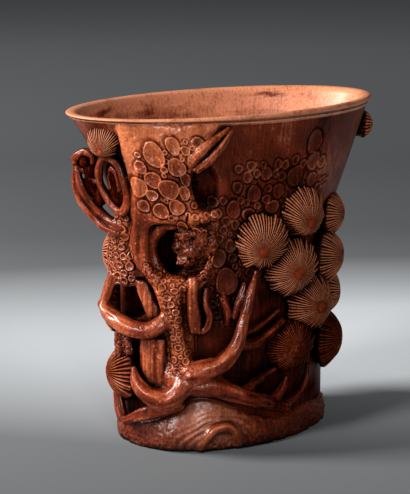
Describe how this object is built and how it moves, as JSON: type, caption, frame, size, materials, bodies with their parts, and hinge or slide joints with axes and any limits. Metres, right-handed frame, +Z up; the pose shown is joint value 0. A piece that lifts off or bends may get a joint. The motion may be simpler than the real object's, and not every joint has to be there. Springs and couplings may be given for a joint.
{
  "type": "carved bamboo cup",
  "caption": "Oval bamboo cup with a flared mouth, a let-in floor and an old pine tree carved round it in high, pierced relief. It stands on its flat underside.",
  "frame": {"origin": "centre of the flat underside", "axes": "+Z up through the mouth, +X along the oval's long axis towards the end with the needle clusters, -Y towards the side with the trunk"},
  "size_m": [0.1114, 0.0659, 0.11],
  "materials": {
    "vessel": "reddish-brown bamboo, waxed and polished",
    "floor": "reddish-brown bamboo, dull",
    "foot": "reddish-brown carved bamboo, waxed",
    "trunk": "reddish-brown carved bark, waxed",
    "bough": "orange-brown carved bamboo, worn and polished",
    "needle": "brown carved needles with redder centres"
  },
  "bodies": {
    "root": {"cup_wall": "vessel", "floor_plug": "floor", "rock_foot": "foot", "trunk_upper": "trunk", "trunk_left": "trunk", "trunk_centre": "trunk", "split_plank": "trunk", "inner_plank": "trunk", "low_plank": "trunk", "burl_heart": "trunk", "handle_strut": "bough", "side_loop": "bough", "root_hook": "bough", "root_low": "bough", "main_bough": "bough", "right_fork": "bough", "upper_fork": "bough", "lower_bough": "bough", "arm_a": "bough", "arm_b": "bough", "arm_c": "bough", "broken_stub": "bough", "small_stub": "bough", "root_arch": "bough", "handle_twig": "bough", "left_twig": "bough", "left_bud": "bough", "low_stalk": "bough", "slender_roll": "bough", "wedge_strand": "bough", "bough_twig": "bough", "back_trunk": "bough", "back_bough_left": "bough", "back_bough_right": "bough", "burl_ring": "bough", "handle_ring": "bough", "handle_drop": "bough", "handle_drop_inner": "bough", "needle_01": "needle", "needle_02": "needle", "needle_03": "needle", "needle_04": "needle", "needle_05": "needle", "needle_06": "needle", "needle_07": "needle", "needle_08": "needle", "needle_09": "needle", "needle_10": "needle", "needle_11": "needle", "needle_12": "needle", "needle_13": "needle", "needle_14": "needle", "needle_15": "needle", "needle_16": "needle", "needle_17": "needle", "needle_18": "needle", "needle_19": "needle", "needle_20": "needle", "needle_21": "needle", "needle_22": "needle"}
  },
  "joints": []
}
